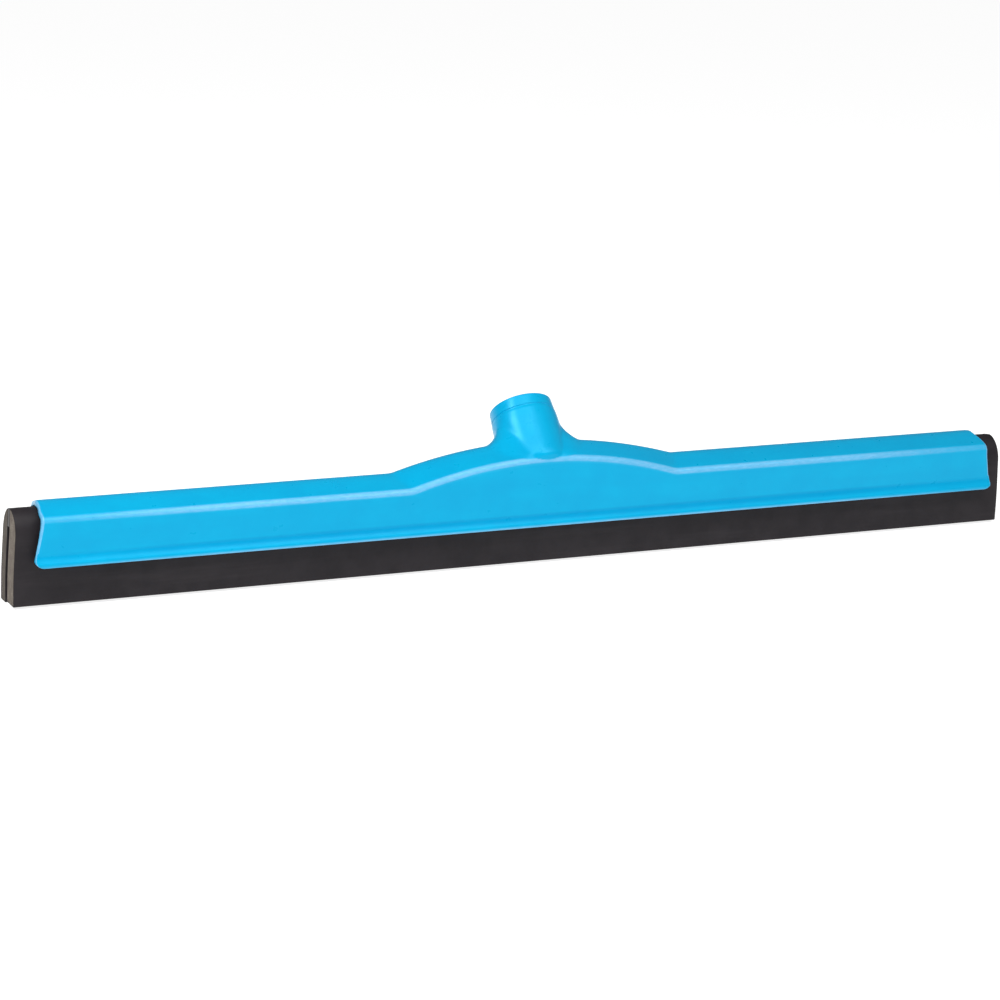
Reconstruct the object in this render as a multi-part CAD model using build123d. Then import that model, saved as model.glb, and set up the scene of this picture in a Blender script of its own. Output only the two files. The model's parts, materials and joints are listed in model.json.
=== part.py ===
from build123d import *
import os
from math import cos, radians, sin

# A 600 mm floor squeegee head. The moulded frame is a channel, open below and at both ends, with a
# raised hump and a tilted handle socket at its middle. A cassette of two cellular-rubber blades,
# bonded to a core strip, slides into the channel from one end.
#
# Millimetres. X runs along the head, +Y is the side that the handle leans to, +Z is up. The shapes
# are drawn about the cassette's middle plane (Y = 0) with the rear blade's edge on Z = 0, and are
# moved along Y at the end, so that the origin is the bottom centre of the whole head.

# Cassette
CASSETTE_LENGTH = 600.0
CASSETTE_HALF_WIDTH = 11.3
CASSETTE_TOP = 51.2
CASSETTE_SHOULDER = 38.0        # the flat sides end here and the rounded top begins
FRONT_BLADE_INNER = 0.0         # the front blade fills Y from -CASSETTE_HALF_WIDTH to here
REAR_BLADE_INNER = 3.2          # the rear blade fills Y from here to CASSETTE_HALF_WIDTH
CORE_BOTTOM = 41.0
FRONT_BLADE_EDGE = 1.9          # the front blade is this much shorter than the rear one
FLEX_HEIGHT = 17.0              # each blade's free edge bends about a line at this height
FLEX_CLEARANCE = 0.08

# Frame section
WALL = 2.5
WALL_FACE = 17.5                # outer faces of the two walls, from the middle plane
EAVE = 49.1                     # where a wall and its roof slope would meet if left sharp
APEX = 55.3                     # where the two roof slopes would meet if left sharp
EAVE_RADIUS = 3.0
APEX_RADIUS = 12.0
LIP_REACH = 18.7
LIP_BOTTOM = 23.3
LIP_HEIGHT = 1.7
LIP_EDGE_RADIUS = 0.8
LIP_TOP_RADIUS = 0.6
FLARE_TOP = 30.0
FLARE_RADIUS = 6.0
RAIL_FACE = CASSETTE_HALF_WIDTH + 0.05
RAIL_HEIGHT = 2.0
RAIL_LEVELS = (27.5, 36.0)

# Frame ends
CROWN_HALF_LENGTH = 285.2
LIP_HALF_LENGTH = 291.3
END_CORNER_RADIUS = 4.0

# Hump
HUMP_RISE = 12.4
HUMP_HALF_LENGTH = 81.0
HUMP_FLOOR = 43.0
HUMP_HALF_ANGLE = 18.0          # degrees of arc drawn on each side of the middle
WEB_THICKNESS = 2.0
WEB_PLACES = (32.0, 48.0)

# Handle socket
SOCKET_LEAN = 42.65             # degrees from the vertical, towards +Y
SOCKET_MOUTH = (20.9, 80.7)     # Y and Z of the mouth's centre
SOCKET_RADIUS = 17.1
SOCKET_LENGTH = 29.5            # from the mouth to the centre of the domed end
SOCKET_FILLET = 4.0
BORE_RADIUS = 12.3
BORE_DEPTH = 27.0
BORE_TIP_DEPTH = 6.0
BORE_TIP_RADIUS = 5.0
MOUTH_CHAMFER = 1.2
RING_DEPTH = 6.3
RING_WIDTH = 0.7
RING_CUT = 0.4

CUT_MARGIN = 1.0                # cutting shapes run this far past what they cut

LEAN = radians(SOCKET_LEAN)
BACK_REACH = SOCKET_MOUTH[0] + SOCKET_RADIUS * cos(LEAN)
Y_SHIFT = (LIP_REACH - BACK_REACH) / 2


def along_x(sketch, half_length):
    """The YZ sketch as a bar centred on X = 0."""
    return extrude(sketch, amount=half_length, both=True)


def yz_face(points):
    """A closed polygon in the YZ plane, mirrored about Y = 0 from its points at Y <= 0."""
    mirrored = [(-y, z) for y, z in reversed(points) if y != 0]
    return make_face(Plane.YZ * Polyline(points + mirrored, close=True))


def rounded(face, radii):
    """The face with the corners nearest the given (Y, Z) points rounded."""
    for y, z, radius in radii:
        for side in {y, -y}:
            corner = face.vertices().sort_by_distance((0, side, z))[0]
            face = fillet(corner, radius)
    return face


def roof_section(inset, floor):
    """The top of the frame's section: two walls and a gable, inset from the outer face.

    The eaves are rounded outside and sharp inside.
    """
    slope = (APEX - EAVE) / WALL_FACE
    drop = inset * (1 + slope**2) ** 0.5
    wall = WALL_FACE - inset
    eave = EAVE + slope * inset - drop
    apex = APEX - drop
    face = yz_face([(-wall, floor), (-wall, eave), (0, apex)])
    face = rounded(face, [(0, apex, APEX_RADIUS - inset)])
    return face if inset else rounded(face, [(wall, eave, EAVE_RADIUS)])


def outer_section():
    """The frame's outer outline, down to its flared lips."""
    skirt = yz_face(
        [
            (-WALL_FACE + WALL, LIP_BOTTOM),
            (-LIP_REACH, LIP_BOTTOM),
            (-LIP_REACH, LIP_BOTTOM + LIP_HEIGHT),
            (-WALL_FACE, FLARE_TOP),
            (-WALL_FACE, FLARE_TOP + WALL),
        ]
    )
    skirt = rounded(
        skirt,
        [
            (LIP_REACH, LIP_BOTTOM, LIP_EDGE_RADIUS),
            (LIP_REACH, LIP_BOTTOM + LIP_HEIGHT, LIP_TOP_RADIUS),
            (WALL_FACE, FLARE_TOP, FLARE_RADIUS),
        ],
    )
    return skirt + roof_section(0, FLARE_TOP + WALL / 2)


def hump(inset):
    """The roof section bent over an arc that rises above the straight roof at the middle."""
    ridge_radius = (HUMP_HALF_LENGTH**2 + HUMP_RISE**2) / (2 * HUMP_RISE)
    centre = EAVE + HUMP_RISE - ridge_radius
    section = Pos(0, 0, HUMP_RISE) * roof_section(inset, HUMP_FLOOR - HUMP_RISE)
    axis = Axis((0, 0, centre), (0, 1, 0))
    return revolve(section.rotate(axis, -HUMP_HALF_ANGLE), axis, 2 * HUMP_HALF_ANGLE)


def frame_outline():
    """The frame seen from the front: its ends lean outward below the eaves."""
    outline = Polyline(
        (CROWN_HALF_LENGTH, APEX + HUMP_RISE + CUT_MARGIN),
        (CROWN_HALF_LENGTH, EAVE),
        (LIP_HALF_LENGTH, LIP_BOTTOM),
        (-LIP_HALF_LENGTH, LIP_BOTTOM),
        (-CROWN_HALF_LENGTH, EAVE),
        (-CROWN_HALF_LENGTH, APEX + HUMP_RISE + CUT_MARGIN),
        close=True,
    )
    face = make_face(Plane.XZ * outline)
    face = fillet(face.vertices().sort_by(Axis.Z)[:2], END_CORNER_RADIUS)
    return extrude(face, amount=WALL_FACE * 2, both=True)


def rails():
    """Ribs along both inner walls that grip the cassette and let it slide."""
    bars = []
    for level in RAIL_LEVELS:
        for side in (-1, 1):
            width = WALL_FACE - WALL / 2 - RAIL_FACE
            middle = side * (RAIL_FACE + width / 2)
            bars.append(Pos(0, middle, level) * Box(2 * LIP_HALF_LENGTH, width, RAIL_HEIGHT))
    return bars


def socket_frame():
    """A plane at the socket's mouth, whose normal points out of it."""
    mouth = (0, *SOCKET_MOUTH)
    return Plane(origin=mouth, x_dir=(1, 0, 0), z_dir=(0, sin(LEAN), cos(LEAN)))


def turned(points):
    """A solid turned about the socket's axis from (radius, height above the mouth) points."""
    face = make_face(Plane.XZ * Polyline(points, close=True))
    return socket_frame() * revolve(face, Axis.Z)


def socket_body():
    """The socket's tube and its domed lower end."""
    tube = turned([(0, 0), (SOCKET_RADIUS, 0), (SOCKET_RADIUS, -SOCKET_LENGTH), (0, -SOCKET_LENGTH)])
    dome = socket_frame() * (Pos(0, 0, -SOCKET_LENGTH) * Sphere(SOCKET_RADIUS))
    ring = turned(
        [
            (SOCKET_RADIUS - RING_CUT, -RING_DEPTH),
            (SOCKET_RADIUS + CUT_MARGIN, -RING_DEPTH),
            (SOCKET_RADIUS + CUT_MARGIN, -RING_DEPTH - RING_WIDTH),
            (SOCKET_RADIUS - RING_CUT, -RING_DEPTH - RING_WIDTH),
        ]
    )
    return tube + dome - ring


def socket_bore():
    """The blind hole for the handle, with a chamfered mouth and a tapered bottom."""
    tip = BORE_DEPTH + BORE_TIP_DEPTH
    return turned(
        [
            (0, CUT_MARGIN),
            (BORE_RADIUS + MOUTH_CHAMFER + CUT_MARGIN, CUT_MARGIN),
            (BORE_RADIUS, -MOUTH_CHAMFER),
            (BORE_RADIUS, -BORE_DEPTH),
            (BORE_TIP_RADIUS, -tip),
            (0, -tip),
        ]
    )


def webs(channel):
    """Cross ribs that stiffen the hollow hump on both sides of the socket."""
    hollow = hump(WALL) - channel
    plate = Box(WEB_THICKNESS, 2 * WALL_FACE, 2 * (APEX + HUMP_RISE))
    return [hollow & (Pos(side * x, 0, 0) * plate) for x in WEB_PLACES for side in (-1, 1)]


def squeegee_frame():
    """The one-piece moulding: channel, hump, socket, rails and webs."""
    channel = along_x(roof_section(WALL, 0), LIP_HALF_LENGTH + CUT_MARGIN)
    outer = (along_x(outer_section(), LIP_HALF_LENGTH) & frame_outline()) + hump(0)
    socket = socket_body() - channel
    solid = outer + socket
    seam = [edge for edge in new_edges(outer, socket, combined=solid) if edge.center().Z > HUMP_FLOOR]
    solid = fillet(seam, SOCKET_FILLET)
    solid = solid - channel - (hump(WALL) - socket) - socket_bore()
    return solid + [bar & frame_outline() for bar in rails()] + webs(channel)


def cassette_section():
    """The cassette's outline: flat sides under a rounded top."""
    half = CASSETTE_HALF_WIDTH
    rise = CASSETTE_TOP - CASSETTE_SHOULDER
    top = EllipticalCenterArc((0, CASSETTE_SHOULDER), half, rise, arc_size=180)
    sides = Polyline((-half, CASSETTE_SHOULDER), (-half, 0), (half, 0), (half, CASSETTE_SHOULDER))
    return make_face(Plane.YZ * (top + sides))


def slab(y_low, y_high, z_low, z_high):
    """A box as long as the cassette between two Y and two Z values."""
    width, height = y_high - y_low, z_high - z_low
    middle = Pos(0, (y_low + y_high) / 2, (z_low + z_high) / 2)
    return middle * Box(CASSETTE_LENGTH, width, height)


def flex_rod(y_low, y_high, clearance):
    """A rod along a blade's bending line, as thick as the blade plus a clearance."""
    rod = Cylinder((y_high - y_low) / 2 + clearance, CASSETTE_LENGTH, rotation=(0, 90, 0))
    return Pos(0, (y_low + y_high) / 2, FLEX_HEIGHT) * rod


def blade_heel(y_low, y_high):
    """The held part of a blade, with a hollow lower edge around its bending line."""
    body = along_x(cassette_section(), CASSETTE_LENGTH / 2)
    heel = body & slab(y_low, y_high, FLEX_HEIGHT, CASSETTE_TOP)
    return heel - flex_rod(y_low, y_high, FLEX_CLEARANCE)


def blade_edge(y_low, y_high, z_low):
    """The free part of a blade, from the bending line to its wiping edge."""
    return slab(y_low, y_high, z_low, FLEX_HEIGHT) + flex_rod(y_low, y_high, 0)


def cassette_core():
    """The strip that the two blades are bonded to along their tops."""
    body = along_x(cassette_section(), CASSETTE_LENGTH / 2)
    return body & slab(FRONT_BLADE_INNER, REAR_BLADE_INNER, CORE_BOTTOM, CASSETTE_TOP)


def save(name, shape):
    """Writes one named part, moved to the head's own frame."""
    solid = Pos(0, Y_SHIFT, 0) * shape
    solid.label = name
    export_step(solid, f"parts/{name}.step")
    print(name, round(solid.volume), solid.is_valid)


def main():
    os.makedirs("parts", exist_ok=True)
    front = (-CASSETTE_HALF_WIDTH, FRONT_BLADE_INNER)
    rear = (REAR_BLADE_INNER, CASSETTE_HALF_WIDTH)
    save("squeegee_frame", squeegee_frame())
    save("cassette_core", cassette_core())
    save("front_blade_heel", blade_heel(*front))
    save("rear_blade_heel", blade_heel(*rear))
    save("front_blade_edge", blade_edge(*front, FRONT_BLADE_EDGE))
    save("rear_blade_edge", blade_edge(*rear, 0))


main()
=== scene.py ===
import json
from math import atan, cos, hypot, pi, radians, sin, tan

import bmesh
import bpy
import numpy as np
from mathutils import Matrix, Vector
from mathutils.geometry import delaunay_2d_cdt


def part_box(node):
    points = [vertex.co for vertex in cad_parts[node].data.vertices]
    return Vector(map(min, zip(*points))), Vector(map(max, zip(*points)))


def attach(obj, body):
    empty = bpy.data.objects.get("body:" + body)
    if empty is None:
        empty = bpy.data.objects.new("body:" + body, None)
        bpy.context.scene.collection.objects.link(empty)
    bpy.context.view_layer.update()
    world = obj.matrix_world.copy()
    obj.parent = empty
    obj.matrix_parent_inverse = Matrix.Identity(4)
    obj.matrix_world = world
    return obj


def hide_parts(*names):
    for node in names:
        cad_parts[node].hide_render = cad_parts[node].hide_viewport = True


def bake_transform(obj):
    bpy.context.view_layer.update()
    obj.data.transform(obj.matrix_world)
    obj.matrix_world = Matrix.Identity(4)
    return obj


# A floor squeegee head: a moulded frame with a tilted handle socket, and a cassette of two cellular
# rubber blades. Shapes are worked out in millimetres about the cassette's middle plane (y = 0), with
# the rear blade's edge on z = 0, and put() moves them to the CAD frame and to metres.

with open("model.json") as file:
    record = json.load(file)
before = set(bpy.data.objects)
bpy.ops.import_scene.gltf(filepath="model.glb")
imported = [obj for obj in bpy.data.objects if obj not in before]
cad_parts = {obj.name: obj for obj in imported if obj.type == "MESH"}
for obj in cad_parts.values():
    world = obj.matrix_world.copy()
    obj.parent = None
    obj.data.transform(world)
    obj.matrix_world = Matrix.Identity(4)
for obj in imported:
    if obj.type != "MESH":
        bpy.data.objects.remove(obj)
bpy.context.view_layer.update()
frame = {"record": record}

MM = 0.001


def corners(node):
    """A CAD node's lowest and highest corners, in millimetres."""
    low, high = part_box(node)
    return np.array(low) / MM, np.array(high) / MM


FRAME_LOW, FRAME_HIGH = corners("squeegee_frame")
CORE_LOW, _ = corners("cassette_core")
FRONT_LOW, FRONT_HIGH = corners("front_blade_heel")
REAR_LOW, REAR_HIGH = corners("rear_blade_heel")
FRONT_EDGE_LOW, _ = corners("front_blade_edge")
REAR_EDGE_LOW, _ = corners("rear_blade_edge")
MIDDLE_Y = (FRONT_LOW[1] + REAR_HIGH[1]) / 2
SOCKET = next(m for m in frame["record"]["mounts"] if m["name"] == "handle_socket")

# Frame section: reach is the distance from the middle plane
LIP_DROP = 0.4              # the lips end this much lower than the CAD's
LIP_BOTTOM = FRAME_LOW[2] - LIP_DROP
LIP_REACH = MIDDLE_Y - FRAME_LOW[1]
LIP_TOP = LIP_BOTTOM + 2.0
FOOT_REACH = 16.9           # the foot is the hollow corner between lip and wall
FOOT_HEIGHT = LIP_BOTTOM + 5.4
WALL_START = LIP_BOTTOM + 8.0
LIP_RADII = (0.45, 0.9, 4.5)    # of the lip's lower corner, its upper corner and the foot
EAVE_REACH = 17.6
EAVE = 49.1                 # where wall and roof would meet if left sharp
ROOF_SLOPE = 0.36
EAVE_ROUNDING = 2.7
EAVE_POINTS = 10            # rows of the eave's rounding
APEX_SOFTNESS = 3.8
ROOF_ANGLE = atan(ROOF_SLOPE)
INNER_REACH = 15.0
INNER_ROUNDING = 0.3
ROOF_THICKNESS = 2.5
RAIL_REACH = 11.35
RAIL_LEVELS = (27.5, 36.0)
RAIL_HEIGHT = 2.0
RAIL_DRAFT = 0.2            # a rail is this much thinner on each side at its edge
RAIL_ROOT = 0.5             # and this much thicker where it meets the wall
RAIL_LEAD_IN = 6.0          # the rails start this far from the ends and rise over as much again
RAIL_TOP = RAIL_LEVELS[-1] + RAIL_HEIGHT / 2 + 1.0
WEB_PLACES = (-48.0, -32.0, 32.0, 48.0)
WEB_THICKNESS = 2.0
WEB_SINK = 0.6              # the webs' edges lie this deep in the moulding

# Painted highlight on the outer edges and painted shade in the hollow above the lip: start and fade in
# smooth(start - distance / fade)
EAVE_SHIFT = (0.3, 0.35)    # from the sharp eave in to the rounded one, in roundings
EAVE_HIGHLIGHT = (1.6, 1.6)
LIP_HIGHLIGHT = (1.5, 1.0)
FOOT_SHADE = (1.3, 2.2)
EDGE_FADE = 0.6             # towards the ends the painted edge highlight is this much weaker
EDGE_FADE_FROM = 170.0
EDGE_FADE_SPAN = 120.0
CAP_HIGHLIGHT_FADE = 0.2        # no painted highlight where the socket's cap lifts the eave by this much
# painted highlight on the socket's mouth rim
MOUTH_HIGHLIGHT = 0.7

# Frame ends
CROWN_HALF_LENGTH = 285.2   # along the crown, the middle line of the roof
LIP_EXTRA = 0.6             # the lips are this much longer at each end than the CAD's
LIP_HALF_LENGTH = FRAME_HIGH[0] + LIP_EXTRA
END_CORNER = 4.2            # height of each end's rounded lower corner
END_CORNER_STRETCH = 1.4    # the corner is this many times as long as high
END_ROUNDING = 1.2
BACK_TAPER = 0.25           # behind the crown the frame gets shorter by this per millimetre back
END_BULGE = 1.1             # the ends stand out this much more at the eaves than at the crown
BULGE_START = 3.0
BULGE_SPAN = 9.0
LEAN_TOP = EAVE - 3.0       # below this height the ends lean out towards the lips
LEAN_SOFTNESS = 4.0
STRAIGHT_HALF = 255.0       # beyond this the sections follow the leaning ends

# Hump
HUMP_RISE = 12.6
EAVE_KINK = 79.6            # how far from the middle it starts at the eaves
CROWN_KINK = 86.2           # and at the crown
KINK_SOFTNESS = 0.06
KINK_STATION = 80.0         # the station that follows the kinks
KINK_FADE = 50.0            # and this far beyond it, stations are straight again

# Steps of the outer sheet
SLOPE_STEP = 3.0
KINK_ZONE = 6.0
KINK_STEP = 0.75
STRAIGHT_STEP = 8.0
END_SHARES = (0.25, 0.5, 0.7, 0.85, 0.93, 1)
INNER_STEP = 1.2

# Socket
AXIS = np.array(SOCKET["axis"])
BORE_RADIUS = SOCKET["dims"]["r_mm"]
BORE_LENGTH = SOCKET["dims"]["length_mm"]
MOUTH_CHAMFER = 1.2
MOUTH_ROUNDING = 0.5
RIM_RADIUS = BORE_RADIUS + MOUTH_CHAMFER
MOUTH = np.array(SOCKET["pos_m"]) / MM + AXIS * (BORE_LENGTH / 2 + MOUTH_CHAMFER) - [0, MIDDLE_Y, 0]
UPWARD = np.array([0.0, -AXIS[2], AXIS[1]])    # across the axis, up and towards the front
SOCKET_RADIUS = 17.1
SOCKET_WIDENING = 1.03      # the socket is this many times as wide along X as the other way
SOCKET_TAPER = 0.07         # its radius grows by this much per millimetre, down to TAPER_END
TAPER_END = 12.0
TAPER_FROM, TAPER_SPAN = 20, 50    # degrees round the axis over which the taper sets in
CAP_RADIUS = 24.0           # the socket's closed end is a dome of this radius
CAP_CENTRE = 21.3           # whose centre is this deep
CAP_ROUNDING = 1.0
CAP_INSET = 0.05            # over the front eave it stays this far inside the wall's face
UNDERSIDE_DEPTH = 31.0      # inside the frame, a dome centred this deep ends the socket
NOTHING_BELOW = 1e3         # the underside's height beside the socket, above any roof
COLLAR = 8.0                # down to this depth the socket is a plain tube, and below it the blend starts
RING_DEPTH = 6.3            # of a fine groove round the socket
RING_WIDTH = 0.7
RING_CUT = 0.32
THREAD_PITCH = 5.0
THREAD_DEPTH = 1.1
BORE_TIP_DEPTH = 6.0
BORE_TIP_RADIUS = 5.0
FRONT_FILLET = 0.5
SIDE_FILLET = 12.0
BACK_FILLET = 5.0
TO_SIDE_FROM, TO_SIDE_SPAN = 18, 60    # degrees round the axis between front and side fillet
TO_BACK_FROM, TO_BACK_SPAN = 78, 40    # and between side and back fillet

# The patch of the outer sheet that the socket's blend replaces
PATCH_HALF = 36.0
PATCH_STEP = 1.0
PATCH_TILT = radians(20)
PATCH_ROWS = 56
PATCH_BACK_ROWS = 14        # it reaches this many rows down the back wall
CAP_ROWS = 4                # and the cap may lift this many rows of the front wall, below the eave
CAP_LIFT_LIMIT = 4.0
FINE_STEPS = 240
SEARCH = 70.0               # how far along a line the surface is looked for
HALVINGS = 24
BEND_LIMIT = 0.5
BEND_WEIGHT = 6             # millimetres of spacing that a bend of one radian counts for
BEND_SPREAD = 9             # samples of a line over which its bends are averaged


# ---- small geometry helpers -------------------------------------------------------------------

def smooth(t):
    """0 before 0, 1 after 1, and a smooth step between."""
    t = np.clip(t, 0, 1)
    return t * t * (3 - 2 * t)


def spread(start, end, step):
    """Evenly spaced values from start to end, at most step apart, both ends included."""
    return np.linspace(start, end, max(2, int(np.ceil(abs(end - start) / step)) + 1))


def rounded_path(points, radii, step, arc_step=radians(9)):
    """A 2-D path through points, its inner corners rounded, with straight runs cut every step."""
    points = [np.array(p, float) for p in points]
    knots = [points[0]]
    for before, corner, after, radius in zip(points, points[1:], points[2:], radii):
        into = (corner - before) / np.linalg.norm(corner - before)
        out = (after - corner) / np.linalg.norm(after - corner)
        turn = np.arctan2(into[0] * out[1] - into[1] * out[0], into @ out)
        side = np.array([-into[1], into[0]]) * np.sign(turn)
        centre = corner - into * radius * tan(abs(turn) / 2) + side * radius
        for part in np.linspace(0, turn, max(2, int(abs(turn) / arc_step) + 2)):
            spoke = np.array([[cos(part), -sin(part)], [sin(part), cos(part)]]) @ (-side * radius)
            knots.append(centre + spoke)
    knots.append(points[-1])
    path = [knots[0]]
    for a, b in zip(knots, knots[1:]):
        length = np.linalg.norm(b - a)
        if length < 1e-6:
            continue
        path += [a + (b - a) * t for t in spread(0, 1, step / length)[1:]]
    return np.array(path)


def zipper(a, b):
    """Faces between two rows of vertex numbers that run the same way, of any lengths."""
    faces, i, j = [], 0, 0
    while i < len(a) - 1 or j < len(b) - 1:
        ahead_a = (i + 1) / (len(a) - 1) if i < len(a) - 1 else 2
        ahead_b = (j + 1) / (len(b) - 1) if j < len(b) - 1 else 2
        if abs(ahead_a - ahead_b) < 1e-9:
            faces.append((a[i], a[i + 1], b[j + 1], b[j]))
            i, j = i + 1, j + 1
        elif ahead_a < ahead_b:
            faces.append((a[i], a[i + 1], b[j]))
            i += 1
        else:
            faces.append((a[i], b[j + 1], b[j]))
            j += 1
    return faces


def strip(a, b):
    """Quads between two rows of vertex numbers of the same length."""
    return [(a[i], a[i + 1], b[i + 1], b[i]) for i in range(len(a) - 1)]


class Shell:
    """Vertices and faces of one mesh while it is built."""

    def __init__(self):
        self.points, self.edges, self.faces, self.count = [], [], [], 0

    def add(self, points, edge=0.0):
        """Adds points and returns their numbers, in an array of the same layout.

        Edge says how much each point is on an outer edge, where the frame gets a painted highlight and the
        rubber's cut ends show their skin, or below 0 how much it is in a hollow, where shade is painted.
        """
        points = np.asarray(points, float)
        numbers = np.arange(self.count, self.count + points[..., 0].size).reshape(points.shape[:-1])
        self.points.append(points.reshape(-1, 3))
        self.edges.append(np.broadcast_to(edge, numbers.shape).ravel())
        self.count += numbers.size
        return numbers

    def join(self, faces, flip=False):
        self.faces += [tuple(reversed(f)) for f in faces] if flip else list(faces)


def put(shell, name, material, body, smooth_angle=radians(40)):
    """Makes the mesh object, in metres in the CAD frame, and lets it ride on a body if it has one."""
    points = (np.concatenate(shell.points) + [0, MIDDLE_Y, 0]) * MM
    mesh = bpy.data.meshes.new(name)
    mesh.from_pydata(points.tolist(), [], shell.faces)
    mesh.validate()
    edge = mesh.attributes.new("edge", "FLOAT", "POINT")
    edge.data.foreach_set("value", np.concatenate(shell.edges))
    work = bmesh.new()
    work.from_mesh(mesh)
    bmesh.ops.recalc_face_normals(work, faces=work.faces)
    work.to_mesh(mesh)
    work.free()
    mesh.materials.append(material)
    mesh.shade_smooth()
    mesh.set_sharp_from_angle(angle=smooth_angle)
    obj = bpy.data.objects.new(name, mesh)
    bpy.context.scene.collection.objects.link(obj)
    if body:
        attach(obj, body)
    return obj


# ---- frame: section, hump and ends --------------------------------------------------------------

def kink_place(reach):
    """How far from the middle the hump starts, at each distance from the middle plane."""
    return CROWN_KINK + (EAVE_KINK - CROWN_KINK) * np.clip(np.abs(reach) / EAVE_REACH, 0, 1)


def hump(x, reach):
    """The roof's rise above its straight part: an arc with softened starts."""
    arc = 1 - (x / kink_place(reach)) ** 2
    corner = np.maximum(0, 1 - np.abs(arc) / KINK_SOFTNESS)
    return HUMP_RISE * (np.maximum(arc, 0) + KINK_SOFTNESS * corner**2 / 4)


def roof(reach):
    """Height of the straight roof, its apex softened, as if it ran on past the eaves."""
    past = np.hypot(EAVE_REACH, APEX_SOFTNESS) - EAVE_REACH
    return EAVE + ROOF_SLOPE * (EAVE_REACH - np.hypot(reach, APEX_SOFTNESS) + past)


def outer_rows():
    """The outer section from lip to apex: reach, height and share of the hump's rise of each row."""
    corner_points = [
        (INNER_REACH + INNER_ROUNDING, LIP_BOTTOM),
        (LIP_REACH, LIP_BOTTOM),
        (LIP_REACH, LIP_TOP),
        (FOOT_REACH, FOOT_HEIGHT),
        (FOOT_REACH, WALL_START),
    ]
    low = rounded_path(corner_points, LIP_RADII, PATCH_STEP, radians(15))
    turn = np.linspace(0, pi / 2, EAVE_POINTS)
    arc_reach = EAVE_REACH - EAVE_ROUNDING * (1 - np.cos(turn))
    arc_height = roof(arc_reach) - EAVE_ROUNDING * (1 - np.sin(turn)) / cos(ROOF_ANGLE)
    roof_reach = spread(arc_reach[-1], 0, PATCH_STEP)[1:]
    top = np.stack([np.append(arc_reach, roof_reach), np.append(arc_height, roof(roof_reach))], 1)
    shares = spread(0, 1, PATCH_STEP / (top[0, 1] - WALL_START))[1:-1]
    wall_reach = FOOT_REACH + (EAVE_REACH - FOOT_REACH) * shares
    wall_height = WALL_START + (top[0, 1] - WALL_START) * shares
    rows = np.concatenate([low, np.stack([wall_reach, wall_height], 1), top])
    lift = np.concatenate([np.zeros(len(low)), shares, np.ones(len(top))])
    return rows[:, 0], rows[:, 1], lift


def outer_edges(reach, height):
    """How much painted highlight each outer row gets on an edge (the eave, the lip), or below 0 how much
    painted shade in the hollow.
    """
    eave_reach = EAVE_REACH - EAVE_SHIFT[0] * EAVE_ROUNDING
    eave_height = EAVE - EAVE_SHIFT[1] * EAVE_ROUNDING
    eave = smooth(EAVE_HIGHLIGHT[0] - np.hypot(reach - eave_reach, height - eave_height) / EAVE_HIGHLIGHT[1])
    lip = smooth(LIP_HIGHLIGHT[0] - np.hypot(reach - LIP_REACH, height - LIP_BOTTOM) / LIP_HIGHLIGHT[1])
    painted_foot_shade = smooth(FOOT_SHADE[0] - np.abs(height - FOOT_HEIGHT) / FOOT_SHADE[1])
    return np.maximum(eave, lip) - painted_foot_shade


REACH, HEIGHT, LIFT = outer_rows()
EAVE_ROW = int(np.argmax(LIFT > 0.999))     # where the wall ends and the eave's rounding begins
ROOF_ROW = EAVE_ROW + EAVE_POINTS           # one row into the roof
EAVE_START = HEIGHT[EAVE_ROW]


def both_sides(values):
    """A half section's values followed by their mirror, the apex once."""
    return np.concatenate([values, values[-2::-1]])


def end_place(reach, height):
    """Half the frame's length at each place: nearly upright at the roof, leaning out to the lip."""
    bulge = END_BULGE * smooth((np.abs(reach) - BULGE_START) / BULGE_SPAN)
    lean = (LIP_HALF_LENGTH - CROWN_HALF_LENGTH - END_BULGE) / (LEAN_TOP - LIP_BOTTOM)
    below = LEAN_TOP - height
    place = CROWN_HALF_LENGTH + bulge + lean * (below + np.hypot(below, LEAN_SOFTNESS)) / 2
    corner = np.clip((LIP_BOTTOM + END_CORNER - height) / END_CORNER, 0, 1)
    cut = END_CORNER_STRETCH * END_CORNER * (1 - np.sqrt(1 - corner**2))
    return np.minimum(place, LIP_HALF_LENGTH) - cut


def stations():
    """Places along half the frame, closer where the shape changes, and their mirror."""
    middle = spread(0, PATCH_HALF, PATCH_STEP)
    slope = spread(PATCH_HALF, KINK_STATION - KINK_ZONE, SLOPE_STEP)
    kink = spread(KINK_STATION - KINK_ZONE, KINK_STATION + KINK_ZONE, KINK_STEP)
    straight = spread(KINK_STATION + KINK_ZONE, STRAIGHT_HALF, STRAIGHT_STEP)
    end = STRAIGHT_HALF + (CROWN_HALF_LENGTH - STRAIGHT_HALF) * np.array(END_SHARES)
    half = np.concatenate([middle, slope[1:], kink[1:], straight[1:], end])
    return np.concatenate([-half[:0:-1], half])


def along(station, reach, height, rounding, side):
    """The x of a row at a station: it follows the hump's kinks and the leaning ends."""
    size = np.abs(station)
    near = np.where(size < KINK_STATION, size / KINK_STATION, 1 - (size - KINK_STATION) / KINK_FADE)
    size = size + (kink_place(reach) - KINK_STATION) * smooth(near)
    share = np.clip((size - STRAIGHT_HALF) / (CROWN_HALF_LENGTH - STRAIGHT_HALF), 0, 1)
    end = end_place(reach, height) - BACK_TAPER * np.maximum(side * reach, 0)
    size = size + share * (end - rounding - CROWN_HALF_LENGTH)
    return np.sign(station) * size


def sheet_points(station, reach, height, lift, side, rise, rounding):
    """A grid of points: stations by rows."""
    s, r = station[:, None], reach[None, :]
    x = along(s, r, height[None, :], rounding[None, :], side[None, :])
    z = height[None, :] + lift[None, :] * rise(x, r, side[None, :] * r)
    return np.stack([x, np.broadcast_to(side * reach, x.shape), z], 2)


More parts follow.
